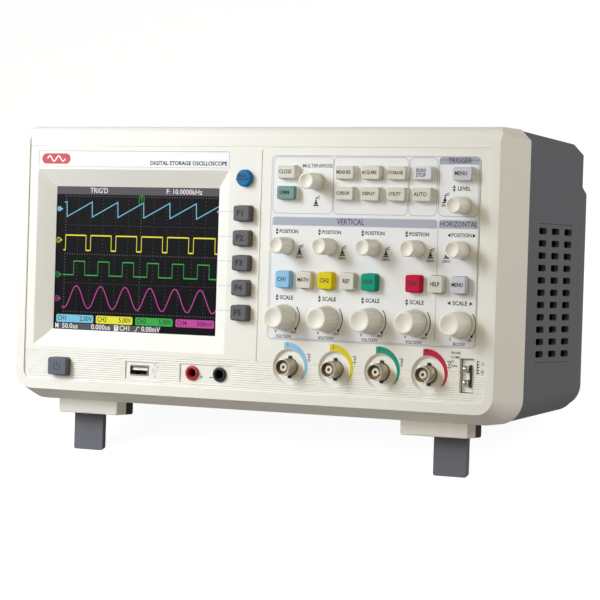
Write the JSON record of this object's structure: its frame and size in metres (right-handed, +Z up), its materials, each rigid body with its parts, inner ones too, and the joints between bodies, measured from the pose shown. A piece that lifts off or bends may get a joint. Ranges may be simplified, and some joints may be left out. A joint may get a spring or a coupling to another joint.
{
  "type": "oscilloscope",
  "caption": "Bench digital storage oscilloscope: cream front with display, keys, knobs and coaxial inputs, grey vented rear case, standing on flip-out front legs.",
  "frame": {"origin": "on the bench, under the middle of the object's outline", "axes": "+X to the right along the front panel, +Y from front to back, +Z up; the case leans back on its legs by the angle between the leg soles and the rear pads"},
  "size_m": [0.33, 0.155, 0.1931],
  "materials": {
    "bezel_cream": "fine-grained moulded ABS, off-white",
    "housing_grey": "fine-grained moulded ABS, dark grey",
    "leg_grey": "moulded, dark grey",
    "overlay_label": "printed polycarbonate label, light grey",
    "knob_cream": "satin moulded, off-white",
    "key_cream": "satin moulded",
    "key_dark": "satin moulded, slate grey",
    "key_lilac": "satin moulded, lilac grey",
    "key_sage": "satin moulded, sage grey",
    "key_blue": "moulded, blue",
    "key_sky": "moulded, light blue",
    "key_yellow": "moulded, yellow",
    "key_green": "moulded, green",
    "key_crimson": "moulded, crimson",
    "connector_metal": "nickel-plated",
    "terminal_plate": "tin-plated clips on a moulded base",
    "board_green": "solder-masked board with parts",
    "black_plastic": "moulded, black",
    "red_plastic": "moulded, red",
    "display_face": "colour liquid-crystal display behind a polariser"
  },
  "bodies": {
    "case": {"front_bezel": "bezel_cream", "control_overlay": "overlay_label", "rear_housing": "housing_grey", "foot_bracket_left": "black_plastic", "foot_bracket_right": "black_plastic", "lcd_module": "display_face", "key_board": "board_green", "main_board": "board_green", "power_supply": "board_green", "fan_frame": "black_plastic", "mains_inlet": "black_plastic", "bnc_connector_1": "connector_metal", "bnc_connector_2": "connector_metal", "bnc_connector_3": "connector_metal", "bnc_connector_4": "connector_metal", "usb_port": "connector_metal", "output_jack_red": "red_plastic", "output_jack_black": "black_plastic", "probe_terminals": "terminal_plate"},
    "leg_left": {"leg_left": "leg_grey"},
    "leg_right": {"leg_right": "leg_grey"},
    "power_button": {"power_button": "key_dark"},
    "vertical_position_knob_1": {"vertical_position_knob_1": "knob_cream"},
    "vertical_position_knob_2": {"vertical_position_knob_2": "knob_cream"},
    "vertical_position_knob_3": {"vertical_position_knob_3": "knob_cream"},
    "vertical_position_knob_4": {"vertical_position_knob_4": "knob_cream"},
    "vertical_scale_knob_1": {"vertical_scale_knob_1": "knob_cream"},
    "vertical_scale_knob_2": {"vertical_scale_knob_2": "knob_cream"},
    "vertical_scale_knob_3": {"vertical_scale_knob_3": "knob_cream"},
    "vertical_scale_knob_4": {"vertical_scale_knob_4": "knob_cream"},
    "horizontal_position_knob": {"horizontal_position_knob": "knob_cream"},
    "horizontal_scale_knob": {"horizontal_scale_knob": "knob_cream"},
    "trigger_level_knob": {"trigger_level_knob": "knob_cream"},
    "multipurpose_knob": {"multipurpose_knob": "knob_cream"},
    "menu_on_off_button": {"menu_on_off_button": "key_blue"},
    "softkey_f1": {"softkey_f1": "key_dark"},
    "softkey_f2": {"softkey_f2": "key_dark"},
    "softkey_f3": {"softkey_f3": "key_dark"},
    "softkey_f4": {"softkey_f4": "key_dark"},
    "softkey_f5": {"softkey_f5": "key_dark"},
    "close_key": {"close_key": "key_cream"},
    "dmm_key": {"dmm_key": "key_sage"},
    "measure_key": {"measure_key": "key_cream"},
    "acquire_key": {"acquire_key": "key_cream"},
    "storage_key": {"storage_key": "key_cream"},
    "cursor_key": {"cursor_key": "key_cream"},
    "display_key": {"display_key": "key_cream"},
    "utility_key": {"utility_key": "key_cream"},
    "run_stop_key": {"run_stop_key": "key_lilac"},
    "auto_key": {"auto_key": "key_cream"},
    "trigger_menu_key": {"trigger_menu_key": "key_lilac"},
    "ch1_key": {"ch1_key": "key_sky"},
    "math_key": {"math_key": "key_cream"},
    "ch2_key": {"ch2_key": "key_yellow"},
    "ref_key": {"ref_key": "key_cream"},
    "ch3_key": {"ch3_key": "key_green"},
    "ch4_key": {"ch4_key": "key_crimson"},
    "help_key": {"help_key": "key_cream"},
    "horizontal_menu_key": {"horizontal_menu_key": "key_lilac"},
    "fan_rotor": {"fan_rotor": "black_plastic"}
  },
  "joints": [
    {"name": "leg_left_fold", "type": "hinge", "parent": "case", "child": "leg_left", "pos_m": [-0.1242, -0.05323, 0.02499], "axis": [1, 0, 0], "range_deg": [0, 90]},
    {"name": "leg_right_fold", "type": "hinge", "parent": "case", "child": "leg_right", "pos_m": [0.1242, -0.05323, 0.02499], "axis": [1, 0, 0], "range_deg": [0, 90]},
    {"name": "power_button_press", "type": "slide", "parent": "case", "child": "power_button", "axis": [0, 0.9493, -0.3144], "range_m": [0, 0.001], "stiffness_N_per_m": 600, "springref_m": -0.001},
    {"name": "vertical_position_knob_1_turn", "type": "hinge", "parent": "case", "child": "vertical_position_knob_1", "pos_m": [0.0272, -0.04643, 0.13029], "axis": [0, -0.9493, 0.3144], "continuous": true},
    {"name": "vertical_position_knob_2_turn", "type": "hinge", "parent": "case", "child": "vertical_position_knob_2", "pos_m": [0.05535, -0.04643, 0.13029], "axis": [0, -0.9493, 0.3144], "continuous": true},
    {"name": "vertical_position_knob_3_turn", "type": "hinge", "parent": "case", "child": "vertical_position_knob_3", "pos_m": [0.0835, -0.04643, 0.13029], "axis": [0, -0.9493, 0.3144], "continuous": true},
    {"name": "vertical_position_knob_4_turn", "type": "hinge", "parent": "case", "child": "vertical_position_knob_4", "pos_m": [0.11165, -0.04643, 0.13029], "axis": [0, -0.9493, 0.3144], "continuous": true},
    {"name": "vertical_scale_knob_1_turn", "type": "hinge", "parent": "case", "child": "vertical_scale_knob_1", "pos_m": [0.0272, -0.05948, 0.09089], "axis": [0, -0.9493, 0.3144], "continuous": true},
    {"name": "vertical_scale_knob_2_turn", "type": "hinge", "parent": "case", "child": "vertical_scale_knob_2", "pos_m": [0.05535, -0.05948, 0.09089], "axis": [0, -0.9493, 0.3144], "continuous": true},
    {"name": "vertical_scale_knob_3_turn", "type": "hinge", "parent": "case", "child": "vertical_scale_knob_3", "pos_m": [0.0835, -0.05948, 0.09089], "axis": [0, -0.9493, 0.3144], "continuous": true},
    {"name": "vertical_scale_knob_4_turn", "type": "hinge", "parent": "case", "child": "vertical_scale_knob_4", "pos_m": [0.11165, -0.05948, 0.09089], "axis": [0, -0.9493, 0.3144], "continuous": true},
    {"name": "horizontal_position_knob_turn", "type": "hinge", "parent": "case", "child": "horizontal_position_knob", "pos_m": [0.1398, -0.04643, 0.13029], "axis": [0, -0.9493, 0.3144], "continuous": true},
    {"name": "horizontal_scale_knob_turn", "type": "hinge", "parent": "case", "child": "horizontal_scale_knob", "pos_m": [0.1398, -0.05948, 0.09089], "axis": [0, -0.9493, 0.3144], "continuous": true},
    {"name": "trigger_level_knob_turn", "type": "hinge", "parent": "case", "child": "trigger_level_knob", "pos_m": [0.1398, -0.03863, 0.15383], "axis": [0, -0.9493, 0.3144], "continuous": true},
    {"name": "multipurpose_knob_turn", "type": "hinge", "parent": "case", "child": "multipurpose_knob", "pos_m": [0.046, -0.03473, 0.1656], "axis": [0, -0.9493, 0.3144], "continuous": true},
    {"name": "menu_on_off_button_press", "type": "slide", "parent": "case", "child": "menu_on_off_button", "axis": [0, 0.9493, -0.3144], "range_m": [0, 0.001], "stiffness_N_per_m": 600, "springref_m": -0.001},
    {"name": "softkey_f1_press", "type": "slide", "parent": "case", "child": "softkey_f1", "axis": [0, 0.9493, -0.3144], "range_m": [0, 0.001], "stiffness_N_per_m": 600, "springref_m": -0.001},
    {"name": "softkey_f2_press", "type": "slide", "parent": "case", "child": "softkey_f2", "axis": [0, 0.9493, -0.3144], "range_m": [0, 0.001], "stiffness_N_per_m": 600, "springref_m": -0.001},
    {"name": "softkey_f3_press", "type": "slide", "parent": "case", "child": "softkey_f3", "axis": [0, 0.9493, -0.3144], "range_m": [0, 0.001], "stiffness_N_per_m": 600, "springref_m": -0.001},
    {"name": "softkey_f4_press", "type": "slide", "parent": "case", "child": "softkey_f4", "axis": [0, 0.9493, -0.3144], "range_m": [0, 0.001], "stiffness_N_per_m": 600, "springref_m": -0.001},
    {"name": "softkey_f5_press", "type": "slide", "parent": "case", "child": "softkey_f5", "axis": [0, 0.9493, -0.3144], "range_m": [0, 0.001], "stiffness_N_per_m": 600, "springref_m": -0.001},
    {"name": "close_key_press", "type": "slide", "parent": "case", "child": "close_key", "axis": [0, 0.9493, -0.3144], "range_m": [0, 0.001], "stiffness_N_per_m": 600, "springref_m": -0.001},
    {"name": "dmm_key_press", "type": "slide", "parent": "case", "child": "dmm_key", "axis": [0, 0.9493, -0.3144], "range_m": [0, 0.001], "stiffness_N_per_m": 600, "springref_m": -0.001},
    {"name": "measure_key_press", "type": "slide", "parent": "case", "child": "measure_key", "axis": [0, 0.9493, -0.3144], "range_m": [0, 0.001], "stiffness_N_per_m": 600, "springref_m": -0.001},
    {"name": "acquire_key_press", "type": "slide", "parent": "case", "child": "acquire_key", "axis": [0, 0.9493, -0.3144], "range_m": [0, 0.001], "stiffness_N_per_m": 600, "springref_m": -0.001},
    {"name": "storage_key_press", "type": "slide", "parent": "case", "child": "storage_key", "axis": [0, 0.9493, -0.3144], "range_m": [0, 0.001], "stiffness_N_per_m": 600, "springref_m": -0.001},
    {"name": "cursor_key_press", "type": "slide", "parent": "case", "child": "cursor_key", "axis": [0, 0.9493, -0.3144], "range_m": [0, 0.001], "stiffness_N_per_m": 600, "springref_m": -0.001},
    {"name": "display_key_press", "type": "slide", "parent": "case", "child": "display_key", "axis": [0, 0.9493, -0.3144], "range_m": [0, 0.001], "stiffness_N_per_m": 600, "springref_m": -0.001},
    {"name": "utility_key_press", "type": "slide", "parent": "case", "child": "utility_key", "axis": [0, 0.9493, -0.3144], "range_m": [0, 0.001], "stiffness_N_per_m": 600, "springref_m": -0.001},
    {"name": "run_stop_key_press", "type": "slide", "parent": "case", "child": "run_stop_key", "axis": [0, 0.9493, -0.3144], "range_m": [0, 0.001], "stiffness_N_per_m": 600, "springref_m": -0.001},
    {"name": "auto_key_press", "type": "slide", "parent": "case", "child": "auto_key", "axis": [0, 0.9493, -0.3144], "range_m": [0, 0.001], "stiffness_N_per_m": 600, "springref_m": -0.001},
    {"name": "trigger_menu_key_press", "type": "slide", "parent": "case", "child": "trigger_menu_key", "axis": [0, 0.9493, -0.3144], "range_m": [0, 0.001], "stiffness_N_per_m": 600, "springref_m": -0.001},
    {"name": "ch1_key_press", "type": "slide", "parent": "case", "child": "ch1_key", "axis": [0, 0.9493, -0.3144], "range_m": [0, 0.001], "stiffness_N_per_m": 600, "springref_m": -0.001},
    {"name": "math_key_press", "type": "slide", "parent": "case", "child": "math_key", "axis": [0, 0.9493, -0.3144], "range_m": [0, 0.001], "stiffness_N_per_m": 600, "springref_m": -0.001},
    {"name": "ch2_key_press", "type": "slide", "parent": "case", "child": "ch2_key", "axis": [0, 0.9493, -0.3144], "range_m": [0, 0.001], "stiffness_N_per_m": 600, "springref_m": -0.001},
    {"name": "ref_key_press", "type": "slide", "parent": "case", "child": "ref_key", "axis": [0, 0.9493, -0.3144], "range_m": [0, 0.001], "stiffness_N_per_m": 600, "springref_m": -0.001},
    {"name": "ch3_key_press", "type": "slide", "parent": "case", "child": "ch3_key", "axis": [0, 0.9493, -0.3144], "range_m": [0, 0.001], "stiffness_N_per_m": 600, "springref_m": -0.001},
    {"name": "ch4_key_press", "type": "slide", "parent": "case", "child": "ch4_key", "axis": [0, 0.9493, -0.3144], "range_m": [0, 0.001], "stiffness_N_per_m": 600, "springref_m": -0.001},
    {"name": "help_key_press", "type": "slide", "parent": "case", "child": "help_key", "axis": [0, 0.9493, -0.3144], "range_m": [0, 0.001], "stiffness_N_per_m": 600, "springref_m": -0.001},
    {"name": "horizontal_menu_key_press", "type": "slide", "parent": "case", "child": "horizontal_menu_key", "axis": [0, 0.9493, -0.3144], "range_m": [0, 0.001], "stiffness_N_per_m": 600, "springref_m": -0.001},
    {"name": "fan_rotor_turn", "type": "hinge", "parent": "case", "child": "fan_rotor", "pos_m": [0.062, -0.05517, 0.1039], "axis": [0, 0.9493, -0.3144], "continuous": true}
  ]
}
